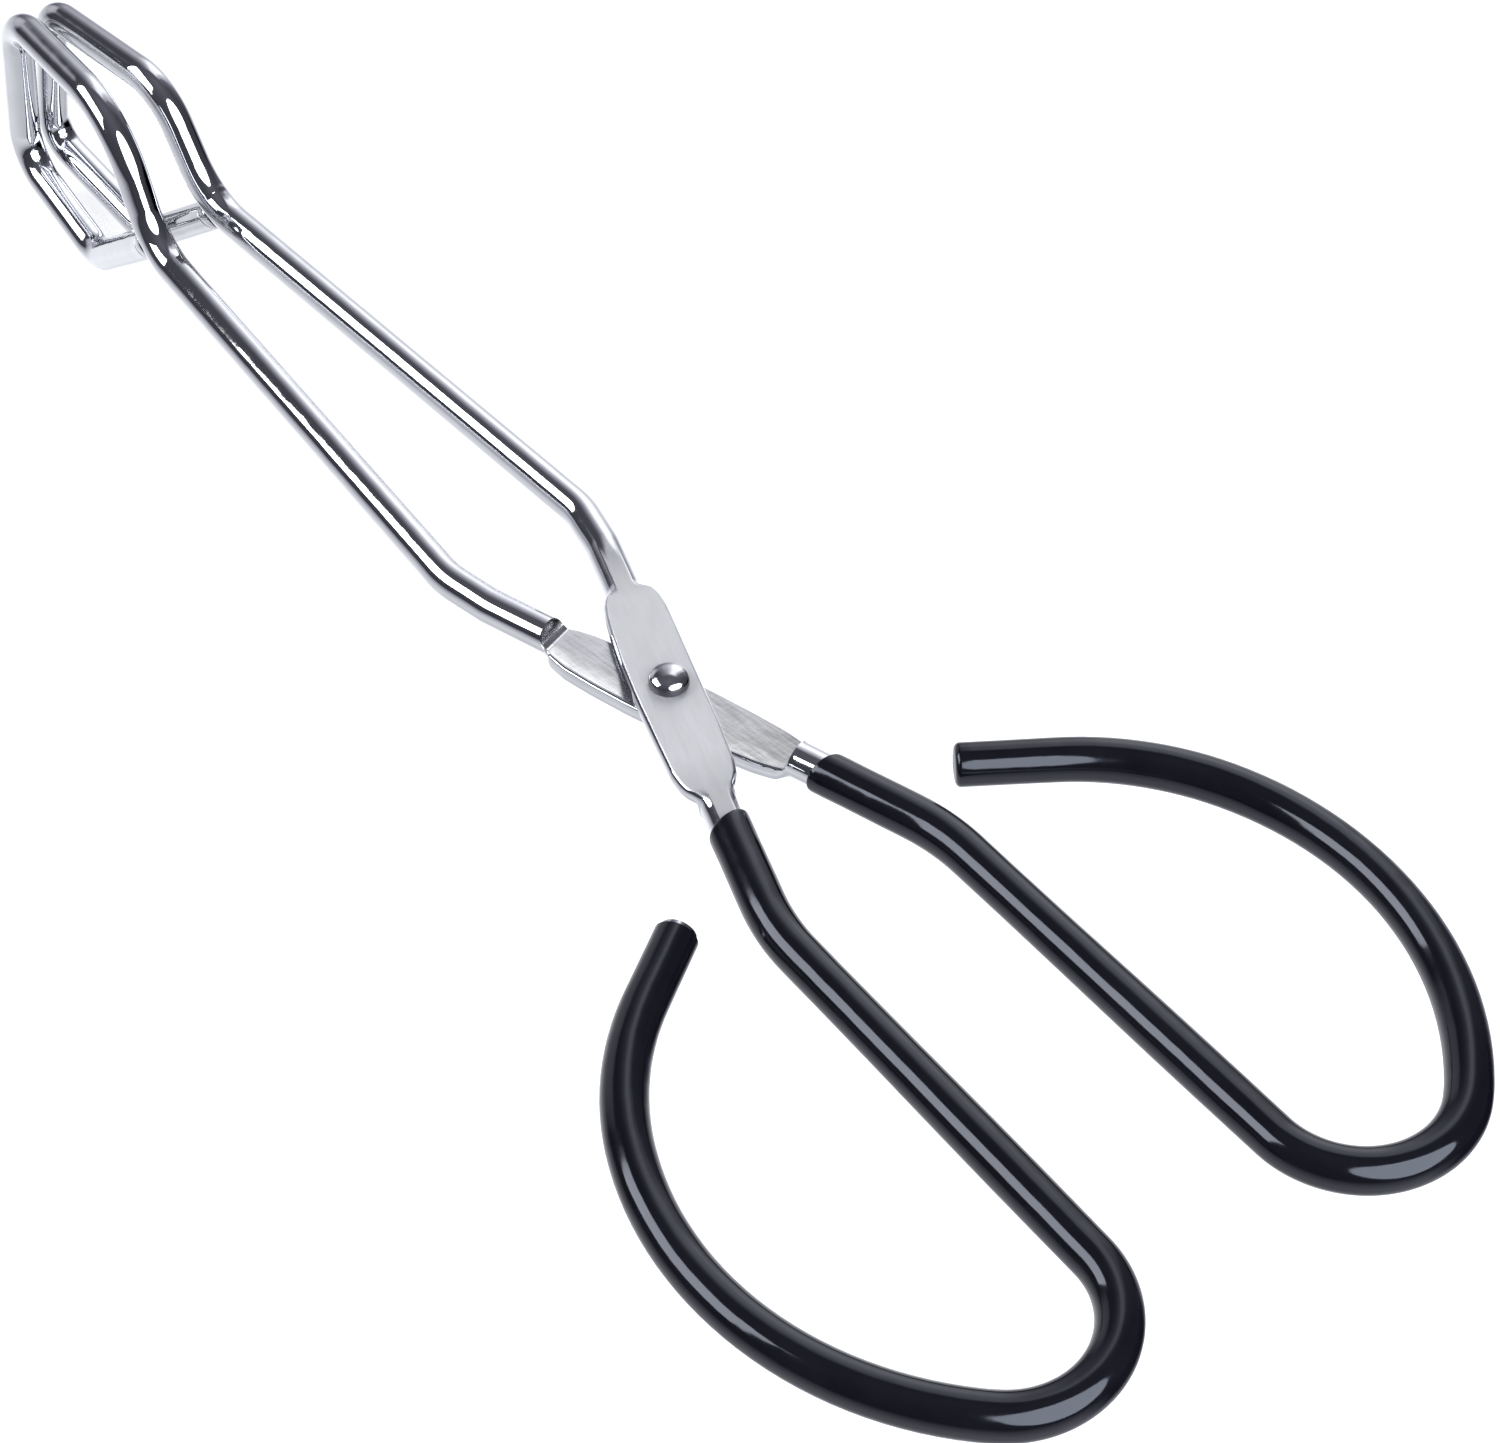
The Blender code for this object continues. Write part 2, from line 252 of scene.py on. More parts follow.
def bar_end(arm):
    """End of the loop's rod, a weld's width outside the bend of its own shank, and the way to it."""
    corners = jaw_corners(arm)
    bend = corners[-2]
    back, ahead = unit(corners[-3] - bend), unit(corners[-1] - bend)
    bend_r = JAW_RADII[arm][-1]
    centre = bend + unit(back + ahead) * bend_r / math.sin(0.5 * math.acos(float(back @ ahead)))
    way = unit(shank_point(arm, -1.0, -BAR_SLOPE) - shank_point(arm, 0.0, 0.0))
    offset = centre - corners[0]
    reach = bend_r + ROD_R + WELD_GAP
    along = float(offset @ way)
    along -= math.sqrt(reach ** 2 - float(offset @ offset) + along ** 2)
    end = corners[0] + way * along
    return end, unit(centre - end)


def jaw_path(arm):
    """Jaw loop and shank, from the welded rod end to the start of the blade."""
    corners = [bar_end(arm)[0], *jaw_corners(arm), blade_point(JAW_NECK)]
    return filled(rounded_path(corners, (*JAW_RADII[arm], ELBOW_R), FINE_CORNERS))


def handle_path():
    """Handle, from the end of the blade to the tip of the finger loop."""
    corners = [blade_point(-HANDLE_NECK), np.array((*HANDLE_BEND, 0.0)),
               np.array((HANDLE_STRAIGHT_END, HANDLE_Y, 0.0))]
    points = list(rounded_path(corners, (HANDLE_BEND_R,)))
    heading = corners[2] - corners[1]
    angle = math.atan2(heading[1], heading[0])
    point = points[-1]
    for radius, turn in LOOP_ARCS:
        steps = math.ceil(math.radians(turn) / ARC_STEP)
        piece = math.radians(turn) / steps
        for _ in range(steps):
            chord = 2 * radius * math.sin(piece / 2)
            point = point + np.array((math.cos(angle - piece / 2), math.sin(angle - piece / 2), 0)) * chord
            angle -= piece
            points.append(point)
    points.append(point + np.array((math.cos(angle), math.sin(angle), 0)) * LOOP_TIP_STRAIGHT)
    return filled(np.array(points))


# ---------------------------------------------------------------- sections
def round_section(radius, top, bottom, top_half, bottom_half):
    """A circle cut by two level planes, its corners shared out as top, side, bottom, side."""
    a = np.linspace(-top_half, top_half, TOP + 1)
    upper = np.stack([a, np.minimum(np.sqrt(radius ** 2 - a ** 2), top)], 1)
    a = np.linspace(bottom_half, -bottom_half, TOP + 1)
    lower = np.stack([a, np.maximum(-np.sqrt(radius ** 2 - a ** 2), bottom)], 1)
    high, low = math.asin(upper[-1, 1] / radius), math.asin(lower[0, 1] / radius)
    t = np.linspace(high, low, TOP + 1)[1:-1]
    start = min(1.0, upper[-1, 0] / (radius * math.cos(high)))
    end = min(1.0, lower[0, 0] / (radius * math.cos(low)))
    pull = np.linspace(start, end, TOP + 1)[1:-1]
    right = np.stack([radius * np.cos(t) * pull, radius * np.sin(t)], 1)
    return np.concatenate([upper, right, lower, right[::-1] * (-1, 1)])


def circle(radius):
    """A plain ring in the same order as the other sections."""
    edge = math.sqrt(0.5) * radius
    return round_section(radius, radius, -radius, edge, edge)


def rounded_wall(edge, high, low):
    """The filed blade's near wall: a round top edge, a shallow bulge and a small round bottom edge."""
    turn = np.radians(LAP_EDGE_TURN)
    top = np.stack([edge + LAP_EDGE_R * np.cos(turn), high + LAP_EDGE_R * (np.sin(turn) - 1)], 1)
    z = np.linspace(high - LAP_EDGE_R, low + LAP_WALL_END, 8)
    t = np.linspace(-1, 1, 8)
    middle = np.stack([edge + LAP_EDGE_R + LAP_WALL_BULGE * (1 - t * t), z], 1)
    bottom = np.array([(edge + LAP_EDGE_R - inset, low + lift) for inset, lift in LAP_WALL_FOOT])
    return np.concatenate([top, middle, bottom])


def side_wall(edge, high, low, bulge):
    """A pressed side: a small turned edge, a bulging wall, and another small edge."""
    t = np.linspace(0, 1, TOP + 1)[1:-1]
    swing = np.radians(WALL_START - WALL_SWING * t)
    base = math.cos(math.radians(WALL_START))
    out = (np.cos(swing) - base) / (1 - base)
    z = high + (low - high) * (0.5 - 0.5 * np.sin(swing) / math.sin(math.radians(WALL_SPREAD)))
    z = np.clip(z, low + WALL_MARGIN, high - WALL_MARGIN)
    return np.stack([edge + bulge * np.clip(out, 0, None) + WALL_STANDOFF, z], 1)


def slab_section(arm, left, right, high, low):
    """The pressed blade: flat faces with bulging walls between them."""
    if arm == "lower":
        right -= LAP_EDGE_INSET
        wall_right = rounded_wall(right, high + LAP_EDGE_LIFT, low)
    else:
        wall_right = side_wall(right, high, low, BULGE[arm])
    wall_left = side_wall(left, high, low, BULGE[arm]) * (-1, 1)
    top = np.stack([np.linspace(-left, right, TOP + 1), np.full(TOP + 1, high)], 1)
    bottom = np.stack([np.linspace(right, -left, TOP + 1), np.full(TOP + 1, low)], 1)
    return np.concatenate([top, wall_right, bottom, wall_left[::-1]])


def smooth(x, low, high):
    """A soft step from 0 at low to 1 at high, which may lie either way round."""
    t = np.clip((x - low) / (high - low), 0, 1)
    return t * t * (3 - 2 * t)


def softened(values, width):
    """Round off the corners of a sampled line."""
    reach = 3 * width
    weights = np.exp(-0.5 * (np.arange(-reach, reach + 1) / width) ** 2)
    padded = np.pad(values, reach, mode="edge")
    return np.convolve(padded, weights / weights.sum(), mode="valid")


def place(points, forward, side, section):
    """Set flat sections across a path: their first axis is side, their second up."""
    up = np.cross(forward, side)
    up /= np.linalg.norm(up, axis=-1, keepdims=True)
    return points[:, None] + side[:, None] * section[..., :1] + up[:, None] * section[..., 1:]


def level_side(forward):
    """Level unit vectors square to a path's directions."""
    side = np.cross((0.0, 0.0, 1.0), forward)
    return side / np.linalg.norm(side, axis=-1, keepdims=True)


# ---------------------------------------------------------------- meshes
def mesh_piece(name, rings, arm, finish, masks=None, sharp=35):
    """Skin rings of points, lift them to the arm plane, mirror the lower arm, and write the mesh."""
    rings = np.asarray(rings, float)
    count, around = rings.shape[:2]
    points = rings.reshape(-1, 3).copy()
    points[:, 2] += ARM_Z
    if arm == "lower":
        points[:, 1] *= -1
    index = np.arange(count * around).reshape(count, around)
    turned = np.roll(index, -1, axis=1)
    quads = np.stack([index[:-1], turned[:-1], turned[1:], index[1:]], -1).reshape(-1, 4)
    faces = [tuple(q) for q in quads.tolist()]
    faces += [tuple(index[0, ::-1].tolist()), tuple(index[-1].tolist())]
    mesh = bpy.data.meshes.new(name)
    mesh.from_pydata((points * MM).tolist(), [], faces)
    for mask, values in (masks or {}).items():
        layer = mesh.attributes.new(mask, "FLOAT", "POINT")
        layer.data.foreach_set("value", np.asarray(values, np.float32).reshape(-1))
    return finished(name, mesh, finish, sharp)


def finished(name, mesh, finish, sharp):
    """Outward normals, smooth shading with sharp corners kept, and one material."""
    bm = bmesh.new()
    bm.from_mesh(mesh)
    bmesh.ops.recalc_face_normals(bm, faces=bm.faces)
    bm.to_mesh(mesh)
    bm.free()
    mesh.shade_smooth()
    mesh.set_sharp_from_angle(angle=math.radians(sharp))
    mesh.materials.append(finish)
    piece = bpy.data.objects.new(name, mesh)
    bpy.context.scene.collection.objects.link(piece)
    return piece


# ---------------------------------------------------------------- arms
def blade_stations():
    """Distances of the blade's rings from the pivot, closest where the section changes fast."""
    curve = np.sin(np.radians(np.arange(90, -1, -5)))
    steps = [np.arange(JAW_NECK, 24.0, -1.0), np.arange(24.0, 20.8, -0.3),
             np.arange(20.7, LAP_JAWS + COVE_JAWS + 0.02, -0.08), LAP_JAWS + COVE_JAWS * curve,
             np.arange(LAP_JAWS - 0.1, 17.0, -0.12), np.arange(16.8, 2.6, -0.4),
             np.arange(2.6, -2.6, -0.2), np.arange(-2.6, -17.2, -0.4),
             np.arange(-17.2, LAP_HANDLE + 0.05, -0.1),
             LAP_HANDLE - COVE_HANDLE * curve[::-2], np.arange(-20.6, -22.8, -0.1),
             np.arange(-22.8, -HANDLE_NECK, -0.3), [-HANDLE_NECK]]
    return np.concatenate(steps)


def lap_cut(u):
    """Height of the cut face: low inside the lap, rising in a hollow curve to the rod at its ends."""
    jaws = np.clip((u - LAP_JAWS) / COVE_JAWS, 0, 1)
    handle = np.clip((LAP_HANDLE - u) / COVE_HANDLE, 0, 1)
    rise = 1 - math.sqrt(1 - (COVE_STEEPNESS * max(jaws, handle)) ** 2)
    return -LAP_HEIGHT + (ROD_R + LAP_HEIGHT) * rise / (1 - math.sqrt(1 - COVE_STEEPNESS ** 2))


def blade_section(arm, u, left, right):
    """Section of a blade at one station, and how far it is slab (1) or round rod (0)."""
    (jaw_full, jaw_none), (handle_full, handle_none) = SLAB_SPAN[arm]
    slab = float(1 - smooth(u, jaw_full, jaw_none)) * float(smooth(u, handle_none, handle_full))
    level = FACE_HEIGHT + (NECK_HEIGHT - FACE_HEIGHT) * float(smooth(abs(u), *NECK_SPAN))
    level += (ROD_R - level) * float(smooth(u, NECK_SPAN[1], JAW_NECK))
    high, low = (level, -lap_cut(u)) if arm == "upper" else (lap_cut(u), -level)
    edge = math.sqrt(0.5) * ROD_R
    top_half = max(edge, math.sqrt(max(ROD_R ** 2 - high ** 2, 0)))
    bottom_half = max(edge, math.sqrt(max(ROD_R ** 2 - low ** 2, 0)))
    rod = round_section(ROD_R, high, low, top_half, bottom_half)
    flat = slab_section(arm, max(left, MIN_HALF_WIDTH), max(right, MIN_HALF_WIDTH), high, low)
    section = rod * (1 - slab) + flat * slab
    if arm == "lower":
        rim = float(smooth(u, LAP_JAWS + COVE_JAWS, LAP_JAWS + 0.6 * COVE_JAWS))
        rim *= float(smooth(u, LAP_HANDLE - COVE_HANDLE, LAP_HANDLE))
        lip = slice(TOP + 1 - len(RIM_IN), TOP + 1)
        section[lip, 0] += (section[TOP, 0] - RIM_IN - section[lip, 0]) * rim
        section[lip, 1] += RIM_UP * rim
    return section, slab


def blade_masks(arm, u, section, slab):
    """How much worked finish, and how much painted shade, each point of one ring carries."""
    worked, scale = np.zeros(SIDES), np.zeros(SIDES)
    if arm == "upper":
        face = slab + (1 - slab) * (np.abs(section[:TOP + 1, 0]) < NECK_FLAT_HALF)
        worked[:TOP + 1] = face * float(smooth(u, *FACE_FADE))
        worked[2 * TOP:3 * TOP + 1] = float(abs(u) < LAP_MASK_HALF)
        # The 'scale' mask is painted shade: a dark strip on the lower part of the wall beside the lap
        scale[STRIP_POINTS] = float(smooth(u, *STRIP_FADES[0])) * float(smooth(u, *STRIP_FADES[1]))
    else:
        ends = [LAP_JAWS + COVE_JAWS + fade for fade in COVE_FADE]
        worked[:TOP + 2 - len(RIM_IN)] = float(1 - smooth(u, *ends)) * float(u > LAP_HANDLE)
    return worked, scale


def blade_rings(arm):
    """Rings of the blade, and the masks that place its finishes and its painted shade."""
    stations = blade_stations()
    outline = np.array(FACE_OUTLINE[arm])[::-1]
    left, right = [softened(np.interp(OUTLINE_GRID, outline[:, 0], edge), OUTLINE_SOFTENING)
                   for edge in outline[:, 1:].T]
    sections, worked, scale = [], [], []
    for u in stations:
        edges = np.interp(u, OUTLINE_GRID, left), np.interp(u, OUTLINE_GRID, right)
        section, slab = blade_section(arm, u, *edges)
        ring_worked, ring_shade = blade_masks(arm, u, section, slab)
        sections.append(section)
        worked.append(ring_worked)
        scale.append(ring_shade)
    points = np.array([blade_point(u) for u in stations])
    forward = np.broadcast_to(-blade_point(1.0), points.shape)
    rings = place(points, forward, level_side(forward), np.array(sections))
    return rings, {"worked": worked, "scale": scale}


def corner_frame(arm, index):
    """Where a jaw bend's middle lies on the rod's centre line, the way to its inside, and along it."""
    before, corner, after = jaw_corners(arm)[index - 1:index + 2]
    back, ahead = unit(before - corner), unit(after - corner)
    inward = unit(back + ahead)
    half = 0.5 * math.acos(float(back @ ahead))
    radius = JAW_RADII[arm][index]
    return corner + inward * radius * (1 / math.sin(half) - 1), inward, unit(ahead - back)


def crinkle(arm, rings, centres):
    """Small folds that bending pushed up on the inside of some corners."""
    for index, spacing, depth, reach, shift in CRINKLES[arm]:
        middle, inward, along = corner_frame(arm, index)
        offset = rings - centres[:, None]
        radial = offset / np.linalg.norm(offset, axis=2, keepdims=True)
        facing = smooth(radial @ inward, *CRINKLE_FACING)
        near = np.linalg.norm(centres - middle, axis=1) < CRINKLE_NEAR
        run = (rings - middle) @ along - shift
        fold = np.cos(2 * math.pi * run / spacing + 0.6) * np.exp(-(run / reach) ** 2)
        fold *= 1 + 0.35 * np.sin(3.1 * offset @ np.cross(inward, along) + index)
        rings += radial * (depth * fold * facing * near[:, None])[..., None]
    return rings


def jaw_rings(arm):
    """Rings of the jaw loop, shank and elbow."""
    points = jaw_path(arm)
    forward = tangents(points)
    angle = math.radians(SHANK_OFFSET[arm][0])
    across = np.array((math.sin(angle), -math.cos(angle), 0.0))
    side = np.where((points[:, 0] < ELBOW[0] + ELBOW_R)[:, None], level_side(forward + 1e-9), across)
    section = np.broadcast_to(circle(ROD_R), (len(points), SIDES, 2))
    rings = place(points, forward, side, section)
    foot, normal = bar_end(arm)
    rings[0] += forward[0] * ((foot - rings[0]) @ normal / (forward[0] @ normal))[:, None]
    return crinkle(arm, rings, points)


def build_arm(arm, finish):
    """One bent rod: jaw loop, shank, blade and handle core."""
    jaw = jaw_rings(arm)
    blade, masks = blade_rings(arm)
    handle = handle_path()
    forward = tangents(handle)
    handle[-1] -= forward[-1] * CORE_SHORTER
    section = np.broadcast_to(circle(ROD_R), (len(handle), SIDES, 2))
    core = place(handle, forward, level_side(forward), section)
    rings = np.concatenate([jaw[:-1], blade, core[1:]])
    before, after = np.zeros((len(jaw) - 1, SIDES)), np.zeros((len(core) - 1, SIDES))
    masks = {mask: np.concatenate([before, values, after]) for mask, values in masks.items()}
    piece = mesh_piece(f"{arm}_arm_rod", rings, arm, finish, masks)
    bore(piece)
    return piece


def bore(piece):
    """The rivet's hole through a blade."""
    bm = bmesh.new()
    bmesh.ops.create_cone(bm, cap_ends=True, segments=48, radius1=PIN_HOLE_R * MM,
                          radius2=PIN_HOLE_R * MM, depth=4 * ARM_Z * MM)
    mesh = bpy.data.meshes.new("bore")
    bm.to_mesh(mesh)
    bm.free()
    cutter = bpy.data.objects.new("bore", mesh)
    bpy.context.scene.collection.objects.link(cutter)
    cutter.location.z = ARM_Z * MM
    cut = piece.modifiers.new("bore", "BOOLEAN")
    cut.operation = "DIFFERENCE"
    cut.object = cutter
    bpy.context.view_layer.update()
    depsgraph = bpy.context.evaluated_depsgraph_get()
    made = bpy.data.meshes.new_from_object(piece.evaluated_get(depsgraph))
    piece.modifiers.clear()
    piece.data = made
    bpy.data.objects.remove(cutter)


# ---------------------------------------------------------------- grips
def grip_tip(arm, end, way, radius):
    """Centres and radii of the rings that round off a grip's blunt tip."""
    tip_round = TIP_ROUND[arm]
    centres, radii = [], []
    for turn in np.radians(np.linspace(12, 90, 8)):
        centres.append(end - way * tip_round + way * (tip_round - TIP_CONE) * math.sin(turn))
        radii.append(radius - tip_round * (1 - math.cos(turn)))
    for cone_radius, rise in ((radius - tip_round - 0.3, 0.06), (0.5, 0.14), (0.2, 0.17)):
        centres.append(end - way * (TIP_CONE - rise))
        radii.append(cone_radius)
    return centres, radii


def build_grip(arm, finish):
    """Dipped vinyl sleeve: a dip line square to the tongs, a soft lip, and a blunt rounded tip."""
    handle = handle_path()
    forward = tangents(handle)
    first, start = forward[0], blade_point(-GRIP_START)
    # Rings of the handle that come before the sleeve, or too close to its lip, are dropped
    keep = np.linalg.norm(handle - start, axis=1) > LIP_CLEAR
    keep[:3] &= (handle[:3] - start) @ first > LIP_CLEAR_AHEAD
    handle, forward = handle[keep], forward[keep]
    handle[-1] -= forward[-1] * TIP_SHORTER[arm]
    first = forward[0]
    lip = np.array([start + first * lead for lead in LIP_LEAD])
    points = np.concatenate([lip, handle])
    ways = np.concatenate([np.tile(first, (len(lip), 1)), forward])
    radius = np.concatenate([GRIP_R - LIP_THIN * np.exp(-LIP_LEAD / LIP_RUN), np.full(len(handle), GRIP_R)])
    run = np.concatenate([[0], np.cumsum(np.linalg.norm(np.diff(points, axis=0), axis=1))])
    radius += WAVE * np.sin(run / WAVE_RUN + 1) * smooth(run, 2, 12)
    radius += SWELLING * np.exp(-((run - SWELLING_AT) / SWELLING_RUN) ** 2)
    end, way = points[-1].copy(), ways[-1]
    points[-1] = end - way * TIP_ROUND[arm]
    tip_points, tip_radii = grip_tip(arm, end, way, radius[-1])
    points = np.concatenate([points, tip_points])
    ways = np.concatenate([ways, np.tile(way, (len(tip_points), 1))])
    radius = np.concatenate([radius, tip_radii])
    unit_ring = circle(1.0)
    outer = place(points, ways, level_side(ways), radius[:, None, None] * unit_ring)
    bore_end = len(points) - len(tip_points) - 1
    inner = place(points[:bore_end], ways[:bore_end], level_side(ways[:bore_end]),
                  np.broadcast_to(unit_ring * GRIP_BORE_R, (bore_end, SIDES, 2)))
    fade = np.exp(-run / DIP_SLANT_RUN)
    shear = -DIP_SLANT * unit_ring[:, 0]
    outer[:len(run)] += first * (fade * radius[:len(run)])[:, None, None] * shear[None, :, None]
    inner += first * (fade[:bore_end] * GRIP_BORE_R)[:, None, None] * shear[None, :, None]
    return mesh_piece(f"{arm}_grip_vinyl", np.concatenate([inner[::-1], outer]), arm, finish, sharp=60)


# ---------------------------------------------------------------- rivet and welds
def spun(name, profile, finish):
    """A closed solid turned about the pivot axis."""
    profile = np.array(profile, float)
    turn = np.linspace(0, 2 * math.pi, SPIN_STEPS, endpoint=False)
    rings = np.stack([np.outer(profile[1:-1, 0], np.cos(turn)), np.outer(profile[1:-1, 0], np.sin(turn)),
                      np.repeat(profile[1:-1, 1:], SPIN_STEPS, axis=1)], -1)
    points = np.concatenate([rings.reshape(-1, 3), [(0, 0, profile[0, 1]), (0, 0, profile[-1, 1])]])
    count = len(rings)
    index = np.arange(count * SPIN_STEPS).reshape(count, SPIN_STEPS)
    turned = np.roll(index, -1, axis=1)
    faces = np.stack([index[:-1], turned[:-1], turned[1:], index[1:]], -1).reshape(-1, 4).tolist()
    foot, crown = index.size, index.size + 1
    faces += [(foot, b, a) for a, b in zip(index[0], turned[0])]
    faces += [(crown, a, b) for a, b in zip(index[-1], turned[-1])]
    mesh = bpy.data.meshes.new(name)
    mesh.from_pydata((points * MM).tolist(), [], [tuple(int(i) for i in f) for f in faces])
    return finished(name, mesh, finish, sharp=30)


def build_rivet(finish):
    """Elliptical dome on a short straight side, a plain pin, and a low flat tail behind the blade."""
    seat = ARM_Z + FACE_HEIGHT + HEAD_GAP
    head = [(HEAD_R - 0.02, seat), (HEAD_R, seat + 0.05)]
    for turn in np.radians(np.linspace(0, 90, 40)):
        head.append((HEAD_R * math.cos(turn), CROWN - DOME_HEIGHT * (1 - math.sin(turn))))
    return spun("pivot_rivet_polished", [*TAIL, (PIN_R, seat - 0.02), *head], finish)


def build_weld(arm, finish):
    """Bead between the rod's end and the bend of its shank, hollowed to fit round the shank."""
    foot, normal = bar_end(arm)
    axis = unit(foot - shank_point(arm, *JAW_CORNERS[arm][0]))
    angle = math.radians(SHANK_OFFSET[arm][0])
    across = np.array((math.sin(angle), -math.cos(angle), 0.0))
    up = unit(np.cross(axis, across))
    ring = circle(1.0)
    turn = np.arctan2(ring[:, 1], ring[:, 0])
    lumps = 0.02 * np.sin(5 * turn + 1) + 0.015 * np.sin(9 * turn + 2.2)
    rings = []
    for share, swell in WELD_RINGS:
        radius = ROD_R + swell + lumps * (1 if 0.1 < share < 0.9 else 0)
        base = foot + across * (radius * ring[:, 0])[:, None] + up * (radius * ring[:, 1])[:, None]
        base += axis * ((foot - base) @ normal / (axis @ normal))[:, None]
        side = np.abs(radius * ring[:, 0])
        hollow = ROD_R - np.sqrt(np.clip(ROD_R ** 2 - side ** 2, 0.9, None))
        rings.append(base + axis * ((WELD_GAP - WELD_EDGE + hollow) * share / (axis @ normal))[:, None])
    return mesh_piece(f"{arm}_jaw_weld_bead", np.array(rings), arm, finish, sharp=70)


# ---------------------------------------------------------------- materials
class Nodes:
    """Shorthand for building a material's node tree around its Principled shader."""

    def __init__(self, name, metallic):
        self.material = bpy.data.materials.new(name)
        self.material.use_nodes = True
        self.tree = self.material.node_tree
        self.shader = self.tree.nodes["Principled BSDF"]
        self.shader.inputs["Metallic"].default_value = metallic
        self.where = self.add("ShaderNodeTexCoord").outputs["Object"]

    def add(self, kind, **values):
        """A new node with its sockets or settings given; a socket among the values is linked."""
        node = self.tree.nodes.new(kind)
        for key, value in values.items():
            key = key.replace("_", " ") if key.replace("_", " ") in node.inputs else key
            if isinstance(value, bpy.types.NodeSocket):
                self.tree.links.new(value, node.inputs[key])
            elif key in node.inputs:
                node.inputs[key].default_value = value
            else:
                setattr(node, key, value)
        return node

    def turned(self, angle, vector=None):
        """Coordinates turned about the vertical."""
        vector = vector or self.where
        return self.add("ShaderNodeMapping", Vector=vector, Rotation=(0, 0, angle)).outputs[0]

    def noise(self, vector, scale, detail=2.0, rough=0.5, distortion=0.0):
        """Noise between about 0.25 and 0.75; scale counts features in a metre along each axis."""
        scale = scale if isinstance(scale, tuple) else (scale, scale, scale)
        shaped = self.add("ShaderNodeMapping", Vector=vector, Scale=scale).outputs[0]
        return self.add("ShaderNodeTexNoise", Vector=shaped, Scale=1.0, Detail=detail, Roughness=rough,
                        Distortion=distortion).outputs["Fac"]

    def ranged(self, value, low, high, start=0.3, end=0.7):
        """Stretch a value's start to end onto low to high."""
        node = self.add("ShaderNodeMapRange", Value=value, From_Min=start, From_Max=end, To_Min=low,
                        To_Max=high)
        return node.outputs[0]

    def maths(self, operation, *values):
        node = self.add("ShaderNodeMath", operation=operation)
        for socket, value in zip(node.inputs, values):
            if isinstance(value, bpy.types.NodeSocket):
                self.tree.links.new(value, socket)
            else:
                socket.default_value = value
        return node.outputs[0]

    def mixed(self, amount, first, second):
        """A blend of two numbers or two colours."""
        colours = isinstance(first, tuple) or getattr(first, "type", "") == "RGBA"
        node = self.add("ShaderNodeMix", data_type="RGBA" if colours else "FLOAT")
        sockets = (node.inputs[0], node.inputs[6 if colours else 2], node.inputs[7 if colours else 3])
        for socket, value in zip(sockets, (amount, first, second)):
            if isinstance(value, bpy.types.NodeSocket):
                self.tree.links.new(value, socket)
            else:
                socket.default_value = (*value, 1.0) if isinstance(value, tuple) else value
        return node.outputs[2 if colours else 0]

    def bump(self, height, distance):
        """Relief of a height between 0 and 1, distance metres deep."""
        return self.add("ShaderNodeBump", Height=height, Distance=distance, Strength=1.0).outputs[0]

    def finish(self, colour, roughness, normal):
        for key, value in (("Base Color", colour), ("Roughness", roughness), ("Normal", normal)):
            self.tree.links.new(value, self.shader.inputs[key])
        return self.material


# Colours as the dark and light ends of a mottle
STEEL_DULL, STEEL_CLEAN = (0.585, 0.588, 0.607), (0.645, 0.648, 0.665)
SATIN_DARK, SATIN_LIGHT = (0.735, 0.732, 0.718), (0.805, 0.802, 0.788)
FILED_DARK, FILED_LIGHT = (0.36, 0.36, 0.35), (0.90, 0.90, 0.88)
RIVET_DULL, RIVET_CLEAN = (0.6, 0.6, 0.615), (0.7, 0.7, 0.715)
WELD_DULL, WELD_CLEAN = (0.46, 0.45, 0.47), (0.60, 0.595, 0.60)
VINYL_DARK, VINYL_LIGHT = (0.0030, 0.0030, 0.0046), (0.0052, 0.0052, 0.0078)
FLOOR_DARK, FLOOR_LIGHT = (0.6, 0.6, 0.6), (0.64, 0.64, 0.64)
# Zones that are darker in the photo: the satin face at its necks, the blade's wall, the rivet's wall
# Painted shade: the satin face darkens towards both necks
NECK_SATIN_SHADE = (0.50, 0.50, 0.495)
# Painted shade: the dark strip on the upper blade's wall beside the lap
PAINTED_STRIP_SHADE = (0.16, 0.16, 0.19)
# Painted shade: the rivet's side wall under the dome
RIVET_WALL_SHADE = (0.07, 0.065, 0.075)
RIVET_WALL_FADE = ((CROWN - 1.15) * MM, (CROWN - 0.9) * MM)
# In metres: spacing of the turning rings, and depths of the relief
RIVET_RING_PITCH = 0.00021
STEEL_RELIEF, RIVET_RELIEF, WELD_RELIEF = 0.00007, 0.00006, 0.000008
VINYL_RELIEF, FLOOR_RELIEF = 0.00008, 0.00002


def steel_base(name):
    """Parts shared by both rods: clean steel with faint smears and a slightly wavy surface."""
    n = Nodes(name, 1.0)
    smears = n.noise(n.where, 140, detail=4.0, rough=0.6, distortion=0.6)
    colour = n.mixed(n.ranged(smears, 0.0, 1.0), STEEL_DULL, STEEL_CLEAN)
    roughness = n.ranged(n.noise(n.where, 420, detail=5.0, rough=0.65), 0.03, 0.085)
    fine = n.maths("MULTIPLY", n.noise(n.where, 1100), 0.06)
    height = n.maths("ADD", n.noise(n.where, 170, detail=1.0), fine)
    worked = n.add("ShaderNodeAttribute", attribute_name="worked").outputs["Fac"]
    return n, worked, colour, roughness, height


